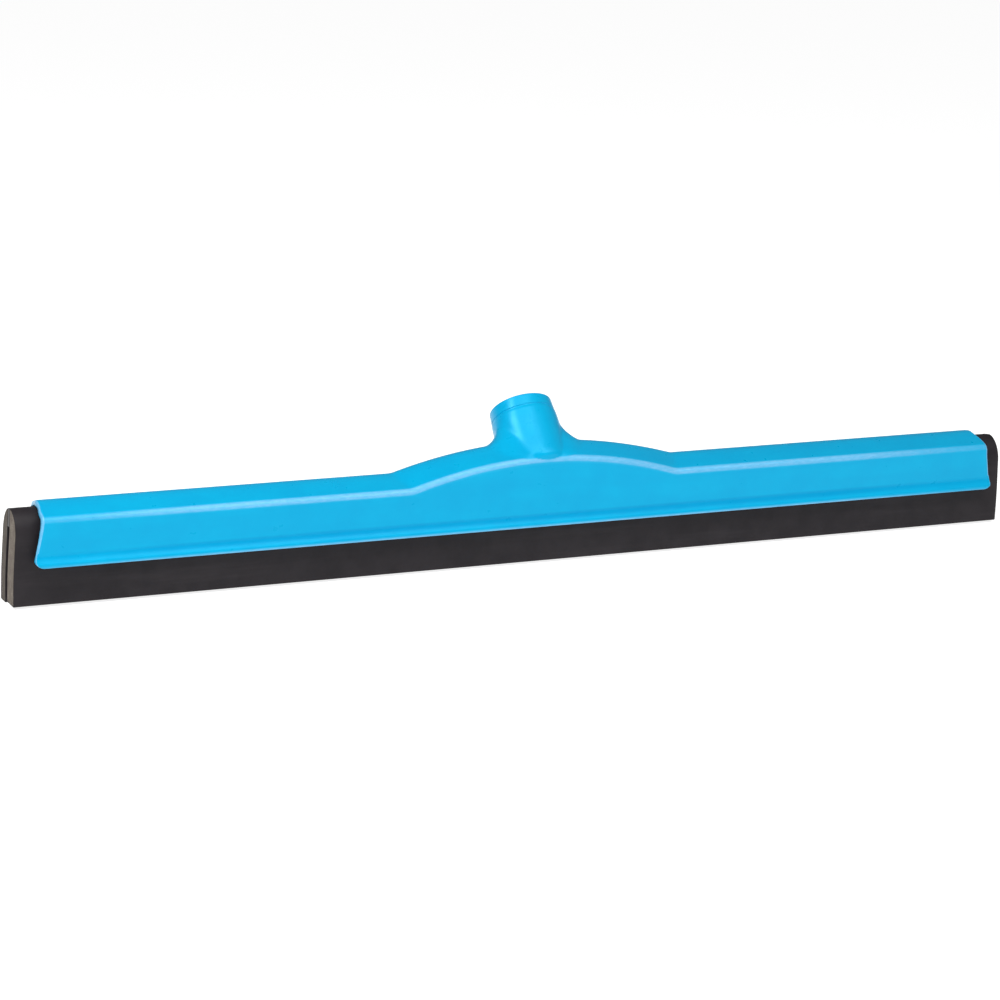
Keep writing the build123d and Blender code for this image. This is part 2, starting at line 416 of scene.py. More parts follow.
def row_normals(y, z):
    """Outward normals of an open section that runs from front to back over the top."""
    dy, dz = np.gradient(y), np.gradient(z)
    size = np.maximum(np.hypot(dy, dz), 1e-9)
    return -dz / size, dy / size


def end_rings(grid, radii, outward, steps):
    """Points that round the two ends of a grid of points over to the end faces."""
    rings = []
    for end in (0, -1):
        base = grid[end]
        ny, nz = row_normals(base[:, 1], base[:, 2])
        for phi in np.linspace(0, pi / 2, steps + 1)[1:]:
            ring = base.copy()
            inward = radii * (1 - cos(phi)) * outward
            ring[:, 0] += np.sign(base[:, 0]) * radii * sin(phi)
            ring[:, 1] -= ny * inward
            ring[:, 2] -= nz * inward
            rings.append((end, ring))
    return rings


# ---- frame: inner side ---------------------------------------------------------------------------

def inner_rows():
    """The inner section: reach, height and share of the hump's rise."""
    drop = ROOF_THICKNESS * hypot(1, ROOF_SLOPE)
    reach = np.concatenate([[INNER_REACH], spread(INNER_REACH - INNER_ROUNDING, 0, INNER_STEP)])
    top = np.stack([reach, roof(reach) - drop], 1)
    top[0, 1] -= INNER_ROUNDING
    profile = [(INNER_REACH, LIP_BOTTOM + INNER_ROUNDING)]
    for level in RAIL_LEVELS:
        low, high = level - RAIL_HEIGHT / 2, level + RAIL_HEIGHT / 2
        profile += [(INNER_REACH, low - RAIL_ROOT), (RAIL_REACH, low + RAIL_DRAFT)]
        profile += [(RAIL_REACH, high - RAIL_DRAFT), (INNER_REACH, high + RAIL_ROOT)]
    profile.append((INNER_REACH, RAIL_TOP))
    radii = (INNER_ROUNDING,) * (len(profile) - 2)
    bottom = rounded_path(profile, radii, INNER_STEP, radians(30))
    shares = spread(0, 1, 1.5 / (top[0, 1] - RAIL_TOP))[1:-1]
    wall = np.stack([np.full(len(shares), INNER_REACH), RAIL_TOP + (top[0, 1] - RAIL_TOP) * shares], 1)
    rows = np.concatenate([bottom, wall, top])
    lift = np.concatenate([np.zeros(len(bottom)), shares, np.ones(len(top))])
    return rows[:, 0], rows[:, 1], lift


def socket_underside(x, y):
    """The lowest height of the socket's tube and of the dome that ends it inside the frame."""
    radius = SOCKET_RADIUS + SOCKET_TAPER * TAPER_END
    flat = np.sqrt(np.maximum(radius**2 - x**2, 0))
    tube = MOUTH[2] + (-flat + (y - MOUTH[1]) * AXIS[2]) / AXIS[1]
    depth = -((y - MOUTH[1]) * AXIS[1] + (tube - MOUTH[2]) * AXIS[2])
    centre = MOUTH - AXIS * UNDERSIDE_DEPTH
    spare = radius**2 - x**2 - (y - centre[1]) ** 2
    dome = centre[2] - np.sqrt(np.maximum(spare, 0))
    low = np.where(depth <= UNDERSIDE_DEPTH, tube, np.where(spare > 0, dome, NOTHING_BELOW))
    return np.where(np.abs(x) < radius, low, NOTHING_BELOW)


INNER_ROWS = inner_rows()


def inner_rise(x, reach, y):
    """How far the inner roof rises over its straight part, filled where the socket is."""
    straight = np.interp(reach, INNER_ROWS[0][::-1], INNER_ROWS[1][::-1])
    return np.clip(np.minimum(hump(x, reach), socket_underside(x, y) - straight), 0, None)


# ---- frame: the socket's blend into the roof ---------------------------------------------------------

def joined(a, b, radius):
    """Distance to two solids joined, the corner between them filled to a radius."""
    outside = np.hypot(np.maximum(radius - a, 0), np.maximum(radius - b, 0))
    return np.maximum(radius, np.minimum(a, b)) - outside


def common(a, b, radius):
    """Distance to what two solids have in common, the edge between them rounded."""
    inside = np.hypot(np.maximum(radius + a, 0), np.maximum(radius + b, 0))
    return np.minimum(-radius, np.maximum(a, b)) + inside


def wall_distances(x, y, z):
    """Distances outward from the front wall and from the back wall, which lean in below the eave."""
    start = EAVE_START + hump(x, EAVE_REACH)
    lean = (EAVE_REACH - FOOT_REACH) / (start - WALL_START)
    drawn_in = EAVE_REACH - lean * np.maximum(0, start - z)
    return -y - drawn_in, y - drawn_in


def socket_point(angle, radius, depth):
    """A point round the socket's axis; angle 0 is the upper front side, depth is below the mouth."""
    across = radius * np.cos(angle)
    x = SOCKET_WIDENING * radius * np.sin(angle)
    y = MOUTH[1] + across * UPWARD[1] - depth * AXIS[1]
    z = MOUTH[2] + across * UPWARD[2] - depth * AXIS[2]
    return x, y, z


def tube_radius(depth, degrees):
    """The socket's radius at a depth: it tapers, but not on its upper front side."""
    side = smooth((degrees - TAPER_FROM) / TAPER_SPAN)
    return SOCKET_RADIUS + SOCKET_TAPER * np.clip(depth, 0, TAPER_END) * side


def solid_distance(x, y, z):
    """Below 0 inside the moulding near its socket, and 0 on its surface.

    A fillet that varies round the socket's axis joins the socket to the roof and the back wall. The
    front eave is rounded after that, so that the fillet ends at it. Then the capped tube is joined
    once more, cut off just inside the front wall's face, so that its cap stands over the eave.
    """
    front, back = wall_distances(x, y, z)
    reach = np.abs(y)
    body = common((z - hump(x, reach) - roof(reach)) * cos(ROOF_ANGLE), back, EAVE_ROUNDING)
    across = (y - MOUTH[1]) * UPWARD[1] + (z - MOUTH[2]) * UPWARD[2]
    depth = -(y - MOUTH[1]) * AXIS[1] - (z - MOUTH[2]) * AXIS[2]
    wide = x / SOCKET_WIDENING
    radius = np.hypot(wide, across)
    degrees = np.abs(np.arctan2(wide, across)) * 180 / pi
    side = radius - tube_radius(depth, degrees)
    cap = np.hypot(radius, depth - CAP_CENTRE) - CAP_RADIUS
    tube = common(side, cap, CAP_ROUNDING)
    to_side, to_back = (degrees - TO_SIDE_FROM) / TO_SIDE_SPAN, (degrees - TO_BACK_FROM) / TO_BACK_SPAN
    fillet = FRONT_FILLET + (SIDE_FILLET - FRONT_FILLET) * smooth(to_side)
    fillet = fillet + (BACK_FILLET - SIDE_FILLET) * smooth(to_back)
    blended = common(joined(tube, body, fillet), front, EAVE_ROUNDING)
    shown = common(side, np.maximum(cap, front + CAP_INSET), CAP_ROUNDING)
    return joined(blended, shown, FRONT_FILLET)


def blend_rows(angle, radius, depth):
    """For each boundary point, the points of the blend from the collar's lower edge out to it.

    In the half plane through the axis and the point, the surface is crossed once by each line that
    leans by PATCH_TILT, and bisection finds the crossing.
    """
    c, s = cos(PATCH_TILT), sin(PATCH_TILT)
    start = COLLAR * c + tube_radius(COLLAR, np.abs(np.degrees(angle))) * s
    end = depth * c + radius * s
    level = start[:, None] + (end - start)[:, None] * np.linspace(0, 1, FINE_STEPS)[None, :]
    a = np.broadcast_to(angle[:, None], level.shape)
    low, high = np.zeros_like(level), np.full_like(level, SEARCH)
    for _ in range(HALVINGS):
        mid = (low + high) / 2
        solid = solid_distance(*socket_point(a, level * s + mid * c, level * c - mid * s)) < 0
        low, high = np.where(solid, mid, low), np.where(solid, high, mid)
    mid = (low + high) / 2
    line = np.stack(socket_point(a, level * s + mid * c, level * c - mid * s), 2)
    return resampled(line)


def resampled(line):
    """Each row of points spaced again along its length, closer where it bends."""
    step = np.linalg.norm(np.diff(line, axis=1), axis=2)
    ahead = np.diff(line, axis=1) / step[..., None]
    bend = np.zeros_like(step)
    bend[:, 1:] = np.linalg.norm(np.diff(ahead, axis=1), axis=2)
    bend = np.minimum(bend, BEND_LIMIT)
    kernel = np.ones(BEND_SPREAD) / BEND_SPREAD
    pad = BEND_SPREAD // 2
    for _ in range(2):
        bend = np.apply_along_axis(lambda b: np.convolve(np.pad(b, pad, "edge"), kernel, "valid"), 1, bend)
        around = np.concatenate([bend[-3:], bend, bend[:3]])
        bend = sum(around[i : i + len(bend)] for i in range(7)) / 7
    cost = np.concatenate([np.zeros((len(line), 1)), np.cumsum(step + BEND_WEIGHT * bend, axis=1)], axis=1)
    rows = []
    for points, price in zip(line, cost):
        wanted = np.linspace(0, price[-1], PATCH_ROWS)
        rows.append(np.stack([np.interp(wanted, price, points[:, k]) for k in range(3)], 1))
    return np.array(rows)


def collar_rows(angle):
    """Radius and depth of the socket's rows above the blend, over its mouth and down its bore."""
    half = RING_WIDTH / 2
    rows = [(SOCKET_RADIUS, COLLAR - 0.5), (SOCKET_RADIUS, RING_DEPTH + half + 0.25)]
    for part in np.linspace(-1, 1, 7):
        rows.append((SOCKET_RADIUS - RING_CUT * (1 - part * part), RING_DEPTH - part * half))
    rows += [(SOCKET_RADIUS, d) for d in spread(RING_DEPTH - half - 0.25, MOUTH_ROUNDING + 0.4, 0.9)]
    for part in np.linspace(0, pi / 2, 6):
        inward, down = MOUTH_ROUNDING * (1 - cos(part)), MOUTH_ROUNDING * (1 - sin(part))
        rows.append((SOCKET_RADIUS - inward, down))
    rows += [(SOCKET_RADIUS - MOUTH_ROUNDING - 0.4, 0), (RIM_RADIUS + 0.5, 0)]
    rows += [(RIM_RADIUS + 0.15, 0.03), (RIM_RADIUS - 0.05, 0.15)]
    rows += [(BORE_RADIUS + 0.1, MOUTH_CHAMFER), (BORE_RADIUS, MOUTH_CHAMFER + 0.2)]
    radius = np.array([r for r, _ in rows])[:, None] + 0 * angle[None, :]
    depth = np.array([d for _, d in rows])[:, None] + 0 * angle[None, :]
    outside = smooth((radius - BORE_RADIUS - MOUTH_CHAMFER) / 2)
    radius += outside * (tube_radius(depth, np.abs(np.degrees(angle))[None, :]) - SOCKET_RADIUS)
    top, bottom = MOUTH_CHAMFER + 0.4, MOUTH_CHAMFER + BORE_LENGTH
    thread = spread(top, bottom, 0.5)[:, None] + 0 * angle[None, :]
    turn = thread / THREAD_PITCH - angle[None, :] / (2 * pi)
    wave = smooth(0.5 + 0.85 * np.cos(2 * pi * turn))
    fade = smooth((thread - MOUTH_CHAMFER - 0.4) / 2.5) * smooth((bottom - thread) / 3)
    radius = np.concatenate([radius, BORE_RADIUS + THREAD_DEPTH * wave * fade])
    depth = np.concatenate([depth, thread])
    for part in np.linspace(0, 1, 6)[1:]:
        r = BORE_RADIUS + (BORE_TIP_RADIUS - BORE_RADIUS) * part
        radius = np.concatenate([radius, np.full((1, len(angle)), r)])
        depth = np.concatenate([depth, np.full((1, len(angle)), bottom + BORE_TIP_DEPTH * part)])
    return radius, depth


def lifted(block):
    """Points of the front eave moved out of the wall where the socket's cap stands over it."""
    outward = np.array([0, -0.6, 0.8])
    low, high = np.zeros(block.shape[:2]), np.full(block.shape[:2], CAP_LIFT_LIMIT)
    for _ in range(20):
        mid = (low + high) / 2
        inside = solid_distance(*np.moveaxis(block + mid[..., None] * outward, 2, 0)) < 0
        low, high = np.where(inside, mid, low), np.where(inside, high, mid)
    moved = (low + high) / 2
    return block + moved[..., None] * outward, moved


def add_socket(shell, outer, grid, first, last, low, high):
    """Fills the hole in the outer sheet between stations first..last and rows low..high."""
    numbers, points = (
        np.concatenate([a[first:last, low], a[last, low:high], a[last:first:-1, high], a[first, high:low:-1]])
        for a in (outer, grid)
    )
    away = points - MOUTH
    across = away @ UPWARD
    wide = away[:, 0] / SOCKET_WIDENING
    angle = np.arctan2(wide, across)
    radius = np.hypot(wide, across)
    depth = -(away @ AXIS)
    patch = blend_rows(angle, radius, depth)
    rings = [numbers]
    for row in range(PATCH_ROWS - 2, -1, -1):
        rings.append(shell.add(patch[:, row]))
    ring_radius, ring_depth = collar_rows(angle)
    for r, d in zip(ring_radius, ring_depth):
        ring = np.stack(socket_point(angle, r, d), 1)
        inside = smooth((RIM_RADIUS + 2 - r) / 2)
        ring[:, 0] *= 1 + (1 / SOCKET_WIDENING - 1) * inside
        # the mouth's outer rim gets a painted highlight
        on_edge = 0 < np.mean(d) < 0.3 and r[0] > BORE_RADIUS + 3
        rings.append(shell.add(ring, MOUTH_HIGHLIGHT if on_edge else 0.0))
    for a, b in zip(rings, rings[1:]):
        shell.join(strip(np.append(a, a[0]), np.append(b, b[0])))
    bottom = MOUTH - AXIS * (MOUTH_CHAMFER + BORE_LENGTH + BORE_TIP_DEPTH)
    centre = int(shell.add(bottom[None])[0])
    last_ring = np.append(rings[-1], rings[-1][0])
    shell.join([(a, b, centre) for a, b in zip(last_ring, last_ring[1:])])


# ---- frame: the whole moulding -------------------------------------------------------------------------

def frame_shell():
    """The moulding: one closed skin of outer sheet, inner sheet, lips, ends and socket, and the webs."""
    shell = Shell()
    station = stations()
    reach, height, lift = (both_sides(v) for v in (REACH, HEIGHT, LIFT))
    side = np.sign(np.arange(len(reach)) - len(REACH) + 1)
    rounding = np.where(height < WALL_START, LIP_RADII[0], END_ROUNDING)
    grid = sheet_points(station, reach, height, lift, side, lambda x, r, y: hump(x, r), rounding)
    first = int(np.argmin(np.abs(station + PATCH_HALF)))
    last = int(np.argmin(np.abs(station - PATCH_HALF)))
    low, high = ROOF_ROW, len(reach) - 1 - (EAVE_ROW - PATCH_BACK_ROWS)
    eave = np.s_[first : last + 1, EAVE_ROW - CAP_ROWS : low + 1]
    grid[eave], moved = lifted(grid[eave])
    # painted highlight along the eave and the lip, and painted shade in the foot's hollow; no highlight where
    # the cap covers the eave, and less towards the ends
    edge = np.tile(both_sides(outer_edges(REACH, HEIGHT)), (len(station), 1))
    edge[eave] *= 1 - smooth(moved / CAP_HIGHLIGHT_FADE)
    edge *= (1 - EDGE_FADE * smooth((np.abs(station) - EDGE_FADE_FROM) / EDGE_FADE_SPAN))[:, None]
    outer = shell.add(grid, edge)
    for i in range(len(station) - 1):
        for k in range(len(reach) - 1):
            if first <= i < last and low <= k < high:
                continue
            shell.join([(outer[i, k], outer[i + 1, k], outer[i + 1, k + 1], outer[i, k + 1])])
    add_socket(shell, outer, grid, first, last, low, high)

    in_reach, in_height, in_lift = (both_sides(v) for v in INNER_ROWS)
    in_side = np.sign(np.arange(len(in_reach)) - len(INNER_ROWS[0]) + 1)
    in_round = np.full(len(in_reach), INNER_ROUNDING)
    plain_reach = np.where(in_lift == 0, INNER_REACH, in_reach)
    in_grid = sheet_points(station, plain_reach, in_height, in_lift, in_side, inner_rise, in_round)
    wall = in_lift < 0.999
    front_eave = int(np.argmax(in_lift > 0.999))
    back_eave = len(in_lift) - 1 - front_eave
    for k in np.flatnonzero(wall):
        row = front_eave if in_side[k] < 0 else back_eave
        in_grid[:, k, 2] = in_height[k] + in_lift[k] * (in_grid[:, row, 2] - in_height[row])
    to_end = LIP_HALF_LENGTH - END_ROUNDING - np.abs(in_grid[:, :, 0])
    held = smooth((to_end - RAIL_LEAD_IN) / RAIL_LEAD_IN)
    in_grid[:, :, 1] -= (in_side * (plain_reach - in_reach))[None, :] * held
    inner = shell.add(in_grid)
    for i in range(len(station) - 1):
        shell.join(strip(inner[i], inner[i + 1]))
    shell.join(strip(outer[:, 0], inner[:, 0]))
    shell.join(strip(inner[:, -1], outer[:, -1]))

    outer_ends = end_rings(grid, rounding, 1, 4)
    inner_ends = end_rings(in_grid, in_round, -1, 2)
    for end, flip in ((0, True), (-1, False)):
        # the rounded ends of the outer sheet carry a full painted highlight
        out_rows = [outer[end]] + [shell.add(ring, 1.0) for e, ring in outer_ends if e == end]
        in_rows = [inner[end]] + [shell.add(ring) for e, ring in inner_ends if e == end]
        for a, b in zip(out_rows, out_rows[1:]):
            shell.join(strip(a, b), flip=not flip)
        for a, b in zip(in_rows, in_rows[1:]):
            shell.join(strip(a, b), flip=flip)
        shell.join(zipper(out_rows[-1], in_rows[-1]), flip=not flip)
        for k in (0, -1):
            rim = [row[k] for row in out_rows] + [row[k] for row in in_rows[::-1]]
            shell.join([tuple(rim)], flip=(k == 0) != flip)
    for place in WEB_PLACES:
        add_web(shell, place)
    return shell


def add_web(shell, place):
    """A cross rib that fills the hollow of the hump at one place, its edges sunk into the moulding."""
    reach = spread(INNER_REACH + WEB_SINK, 0, INNER_STEP)
    inner_reach, inner_height, _ = INNER_ROWS
    under = np.interp(reach, inner_reach[::-1], inner_height[::-1])
    sections = []
    for x in (place - WEB_THICKNESS / 2, place + WEB_THICKNESS / 2):
        for side in (-1, 1):
            top = under + inner_rise(x, np.minimum(reach, INNER_REACH), side * reach) + WEB_SINK
            sections.append((x, top))
    loops = []
    for (x, front), (_, back) in (sections[:2], sections[2:]):
        y = np.concatenate([-reach, reach[-2::-1]])
        top = np.concatenate([front, back[-2::-1]])
        floor = np.concatenate([under, under[-2::-1]])
        upper = shell.add(np.stack([np.full(len(y), x), y, top], 1))
        lower = shell.add(np.stack([np.full(len(y), x), y, floor], 1))
        loops.append((upper, lower))
    (up_a, low_a), (up_b, low_b) = loops
    shell.join(strip(up_a, low_a))
    shell.join(strip(low_b, up_b))
    shell.join(strip(up_b, up_a))
    shell.join(strip(low_a, low_b))
    for k in (0, -1):
        rim = (up_a[k], up_b[k], low_b[k], low_a[k])
        shell.join([rim], flip=k == 0)


# ---- cassette ----------------------------------------------------------------------------------------------

CASSETTE_HALF = FRONT_HIGH[0]
BLADE_REACH = (REAR_HIGH[1] - FRONT_LOW[1]) / 2
FRONT_INNER = FRONT_HIGH[1] - MIDDLE_Y
REAR_INNER = REAR_LOW[1] - MIDDLE_Y
CASSETTE_TOP = FRONT_HIGH[2]
SHOULDER = 38.0             # where the blades' outer faces turn into the rounded top
BLADE_CORNER = 0.6
BLADE_TOP_CORNER = 0.5
CORE_BOTTOM = CORE_LOW[2]
CORE_GAP = 0.06
CORE_INSET = 0.25           # the core's top lies this far below the blades' top
CUT_START = 10.0            # above this height the cut ends lean back
CUT_RECESS = 1.3            # by this much at the top
CUT_ROUNDING = 0.35
SKIN = 0.45
FRONT_DROP = 0.6            # the front blade hangs this much lower than the CAD's


def top_arc(start, end, count=16):
    """Points of the cassette's rounded top between two distances from its middle plane."""
    turns = np.linspace(np.arccos(start / BLADE_REACH), np.arccos(end / BLADE_REACH), count)
    rise = CASSETTE_TOP - SHOULDER
    return [(BLADE_REACH * cos(t), SHOULDER + rise * sin(t)) for t in turns]


def blade_section(inner, side, bottom):
    """One blade's closed outline, from the middle of its edge up its outer face and back down."""
    arc = top_arc(BLADE_REACH, inner)
    middle = (BLADE_REACH + inner) / 2
    points = [(middle, bottom), (BLADE_REACH, bottom), *arc, (inner, bottom), (middle, bottom)]
    radii = [BLADE_CORNER] + [0.0] * (len(arc) - 1) + [BLADE_TOP_CORNER, BLADE_CORNER]
    path = rounded_path(points, radii, 1.1, radians(22))[:-1]
    return path * [side, 1]


def core_section():
    """The core strip's closed outline, a little clear of the blades on both sides."""
    low, high = FRONT_INNER + CORE_GAP, REAR_INNER - CORE_GAP
    middle = (low + high) / 2
    arc = [(y, z - CORE_INSET) for y, z in top_arc(high, low, 6)]
    points = [(middle, CORE_BOTTOM), (high, CORE_BOTTOM), *arc, (low, CORE_BOTTOM), (middle, CORE_BOTTOM)]
    radii = [0.4] + [0.2] + [0.0] * (len(arc) - 2) + [0.2, 0.4]
    return rounded_path(points, radii, 0.8, radians(30))[:-1]


def outward_normals(section):
    """Outward normals of a closed outline."""
    ahead = np.roll(section, -1, 0)
    way = ahead - np.roll(section, 1, 0)
    normal = np.stack([way[:, 1], -way[:, 0]], 1) / np.linalg.norm(way, axis=1)[:, None]
    area = np.sum(section[:, 0] * ahead[:, 1] - ahead[:, 0] * section[:, 1])
    return normal * np.sign(area)


def filled(section):
    """Triangles of point numbers that fill a closed outline."""
    points = [Vector(point) for point in section]
    found = delaunay_2d_cdt(points, [], [list(range(len(points)))], 1, 1e-9)
    return [[found[3][i][0] for i in face] for face in found[2]]


def bar_shell(section, step=6.0):
    """A closed section drawn out along the cassette, its ends rounded and cut slightly off square.

    On the cut ends, edge is 1 over the section's skin and 0 inside it.
    """
    shell = Shell()
    normal = outward_normals(section)
    recess = CUT_RECESS * smooth((section[:, 1] - CUT_START) / (CASSETTE_TOP - CUT_START))
    half = CASSETTE_HALF - CUT_ROUNDING - recess
    turns = np.linspace(0, pi / 2, 4)[1:]
    end = [(CUT_ROUNDING * sin(t), section - normal * CUT_ROUNDING * (1 - cos(t)), 1.0) for t in turns]
    end.append((CUT_ROUNDING, section - normal * (CUT_ROUNDING + SKIN), 0.0))
    rings = [(-half - out, outline, edge) for out, outline, edge in end[::-1]]
    rings += [(share * half, section, 0.0) for share in spread(-1, 1, step / CASSETTE_HALF)]
    rings += [(half + out, outline, edge) for out, outline, edge in end]
    rows = []
    for x, outline, edge in rings:
        rows.append(shell.add(np.stack([x, outline[:, 0], outline[:, 1]], 1), edge))
    for a, b in zip(rows, rows[1:]):
        shell.join(strip(np.append(a, a[0]), np.append(b, b[0])))
    filling = filled(section)
    shell.join([tuple(rows[0][i] for i in face) for face in filling])
    shell.join([tuple(rows[-1][i] for i in face) for face in filling], flip=True)
    return shell


# ---- materials ---------------------------------------------------------------------------------------------

class Nodes:
    """Short calls that add nodes to one material and link them. Lengths are in metres here."""

    def __init__(self, name):
        self.material = bpy.data.materials.new(name)
        self.material.use_nodes = True
        self.tree = self.material.node_tree
        self.shader = self.tree.nodes["Principled BSDF"]
        self.place = self.add("ShaderNodeTexCoord").outputs["Object"]

    def add(self, kind, **settings):
        node = self.tree.nodes.new(kind)
        for key, value in settings.items():
            setattr(node, key, value)
        return node

    def feed(self, socket, value):
        """Links an output to an input, or sets the input to a plain value."""
        if isinstance(value, bpy.types.NodeSocket):
            self.tree.links.new(value, socket)
        else:
            socket.default_value = value

    def math(self, operation, a, b=0.0):
        node = self.add("ShaderNodeMath", operation=operation)
        self.feed(node.inputs[0], a)
        self.feed(node.inputs[1], b)
        return node.outputs[0]

    def noise(self, scale, detail=2.0, rough=0.5, stretch=None):
        node = self.add("ShaderNodeTexNoise")
        node.inputs["Scale"].default_value = scale
        node.inputs["Detail"].default_value = detail
        node.inputs["Roughness"].default_value = rough
        self.feed(node.inputs["Vector"], self.stretched(stretch) if stretch else self.place)
        return node.outputs["Fac"]

    def cells(self, scale):
        """Distance to the nearest of scattered points: 0 at each cell's middle."""
        node = self.add("ShaderNodeTexVoronoi")
        node.inputs["Scale"].default_value = scale
        self.feed(node.inputs["Vector"], self.place)
        return node.outputs["Distance"]

    def stretched(self, factors):
        node = self.add("ShaderNodeMapping")
        node.inputs["Scale"].default_value = factors
        self.feed(node.inputs["Vector"], self.place)
        return node.outputs["Vector"]

    def ramp(self, value, low, high, to_low=0.0, to_high=1.0):
        """A smooth step from to_low to to_high as a value goes from low to high."""
        node = self.add("ShaderNodeMapRange", interpolation_type="SMOOTHSTEP")
        self.feed(node.inputs["Value"], value)
        for key, number in zip(("From Min", "From Max", "To Min", "To Max"), (low, high, to_low, to_high)):
            self.feed(node.inputs[key], number)
        return node.outputs["Result"]

    def mix(self, share, a, b):
        node = self.add("ShaderNodeMix", data_type="RGBA")
        self.feed(node.inputs[0], share)
        for socket, colour in ((node.inputs[6], a), (node.inputs[7], b)):
            self.feed(socket, (*colour, 1) if isinstance(colour, tuple) else colour)
        return node.outputs[2]

    def attribute(self, name):
        return self.add("ShaderNodeAttribute", attribute_name=name).outputs["Fac"]

    def bump(self, height, depth, normal=None):
        node = self.add("ShaderNodeBump")
        node.inputs["Distance"].default_value = depth
        self.feed(node.inputs["Height"], height)
        if normal:
            self.feed(node.inputs["Normal"], normal)
        return node.outputs["Normal"]

    def finish(self, colour, roughness, normal, **plain):
        """Feeds the shader; plain sets its other inputs, with _ for each space in their names."""
        self.feed(self.shader.inputs["Base Color"], colour)
        self.feed(self.shader.inputs["Roughness"], roughness)
        self.feed(self.shader.inputs["Normal"], normal)
        for key, value in plain.items():
            self.shader.inputs[key.replace("_", " ")].default_value = value
        return self.material


BLUE = (0.0, 0.325, 0.575)
MOTTLE_BLUE = (0.0, 0.352, 0.600)
FLOW_BLUE = (0.0, 0.310, 0.560)
PAINTED_HIGHLIGHT_BLUE = (0.20, 0.46, 0.70)
PAINTED_SHADE_BLUE = (0.0, 0.24, 0.49)
BLUE_GLOSS_TINT = (0.2, 0.7, 1.0, 1)
PAINTED_HIGHLIGHT_SHARE = 0.8
PAINTED_SHADE_SHARE = 0.6


def blue_plastic():
    """Satin moulded polypropylene: faintly mottled, with a painted highlight on its outer edges and painted
    shade in its hollow.
    """
    n = Nodes("frame_plastic")
    mottle = n.ramp(n.noise(45, detail=4.0, rough=0.6), 0.3, 0.7)
    colour = n.mix(mottle, BLUE, MOTTLE_BLUE)
    flow = n.ramp(n.noise(30, detail=3.0, stretch=(0.35, 3.0, 3.0)), 0.35, 0.75, 0.0, 0.5)
    colour = n.mix(flow, colour, FLOW_BLUE)
    # painted highlight on the outer edges, broken into patches by fine noise
    highlight_patches = n.ramp(n.noise(900, detail=4.0, rough=0.7, stretch=(0.25, 1.0, 1.0)), 0.35, 0.7, 0.65, 1.0)
    edge = n.attribute("edge")
    painted_highlight = n.math("MULTIPLY", n.ramp(edge, 0, 1), n.math("MULTIPLY", highlight_patches, PAINTED_HIGHLIGHT_SHARE))
    colour = n.mix(painted_highlight, colour, PAINTED_HIGHLIGHT_BLUE)
    # painted shade in the hollow above the lip
    colour = n.mix(n.ramp(edge, -1, 0, PAINTED_SHADE_SHARE, 0), colour, PAINTED_SHADE_BLUE)
    roughness = n.ramp(n.noise(160, detail=3.0), 0.25, 0.75, 0.27, 0.36)
    normal = n.bump(n.noise(70, detail=3.0), 0.00005)
    return n.finish(colour, roughness, normal, Specular_IOR_Level=0.5, Specular_Tint=BLUE_GLOSS_TINT)


SKIN_DARK, SKIN_LIGHT = (0.0140, 0.0118, 0.0140), (0.020, 0.0170, 0.0195)
SKIN_BLOOM = (0.036, 0.031, 0.034)
FOAM_DARK, FOAM_LIGHT = (0.165, 0.140, 0.118), (0.245, 0.213, 0.180)
FOAM_CELL = (0.09, 0.078, 0.066)
FOAM_SHADE = (0.05, 0.046, 0.042)
FOAM_SHADE_SHARE = 0.55
FOAM_SHADE_PLACES = (-0.006, -0.003)    # painted shade: between these, along Y, the cut ends turn darker to the back
FOAM_RIM = (0.035, 0.031, 0.028)


def cellular_rubber():
    """Closed-cell rubber: a smooth satin skin, and open cells on the cut ends."""
    n = Nodes("cellular_rubber")
    facing = n.add("ShaderNodeSeparateXYZ")
    n.feed(facing.inputs[0], n.add("ShaderNodeNewGeometry").outputs["Normal"])
    cut = n.ramp(n.math("ABSOLUTE", facing.outputs["X"]), 0.75, 0.95)
    cells = n.ramp(n.cells(1500), 0.15, 0.6)
    skin = n.mix(n.ramp(n.noise(60, detail=4.0, rough=0.6), 0.3, 0.7), SKIN_DARK, SKIN_LIGHT)
    bloom = n.ramp(n.noise(25, detail=4.0, rough=0.6, stretch=(0.3, 4.0, 4.0)), 0.5, 0.8, 0.0, 0.5)
    skin = n.mix(bloom, skin, SKIN_BLOOM)
    foam = n.mix(n.ramp(n.noise(180, detail=4.0), 0.3, 0.7), FOAM_DARK, FOAM_LIGHT)
    foam = n.mix(n.math("MULTIPLY", cells, 0.5), foam, FOAM_CELL)
    place = n.add("ShaderNodeSeparateXYZ")
    n.feed(place.inputs[0], n.place)
    # painted shade on the rear blade's cut end
    foam = n.mix(n.ramp(place.outputs["Y"], *FOAM_SHADE_PLACES, 0.0, FOAM_SHADE_SHARE), foam, FOAM_SHADE)
    foam = n.mix(n.ramp(n.attribute("edge"), 0.2, 0.8), foam, FOAM_RIM)
    colour = n.mix(cut, skin, foam)
    roughness = n.ramp(cut, 0, 1, 0.5, 0.85)
    height = n.math("MULTIPLY", cells, n.math("ADD", cut, 0.06))
    normal = n.bump(n.noise(900, detail=3.0), 0.00002)
    normal = n.bump(height, -0.0002, normal)
    return n.finish(colour, roughness, normal, Specular_IOR_Level=0.16)


CORE_DARK, CORE_LIGHT = (0.022, 0.020, 0.020), (0.05, 0.045, 0.042)


def core_plastic():
    """The stiff core strip: dull black plastic with drawn lines along it."""
    n = Nodes("core_plastic")
    lines = n.noise(400, detail=3.0, rough=0.6, stretch=(0.05, 1.0, 1.0))
    colour = n.mix(n.ramp(lines, 0.3, 0.7), CORE_DARK, CORE_LIGHT)
    roughness = n.ramp(lines, 0.3, 0.7, 0.45, 0.6)
    return n.finish(colour, roughness, n.bump(lines, 0.00004), Specular_IOR_Level=0.4)


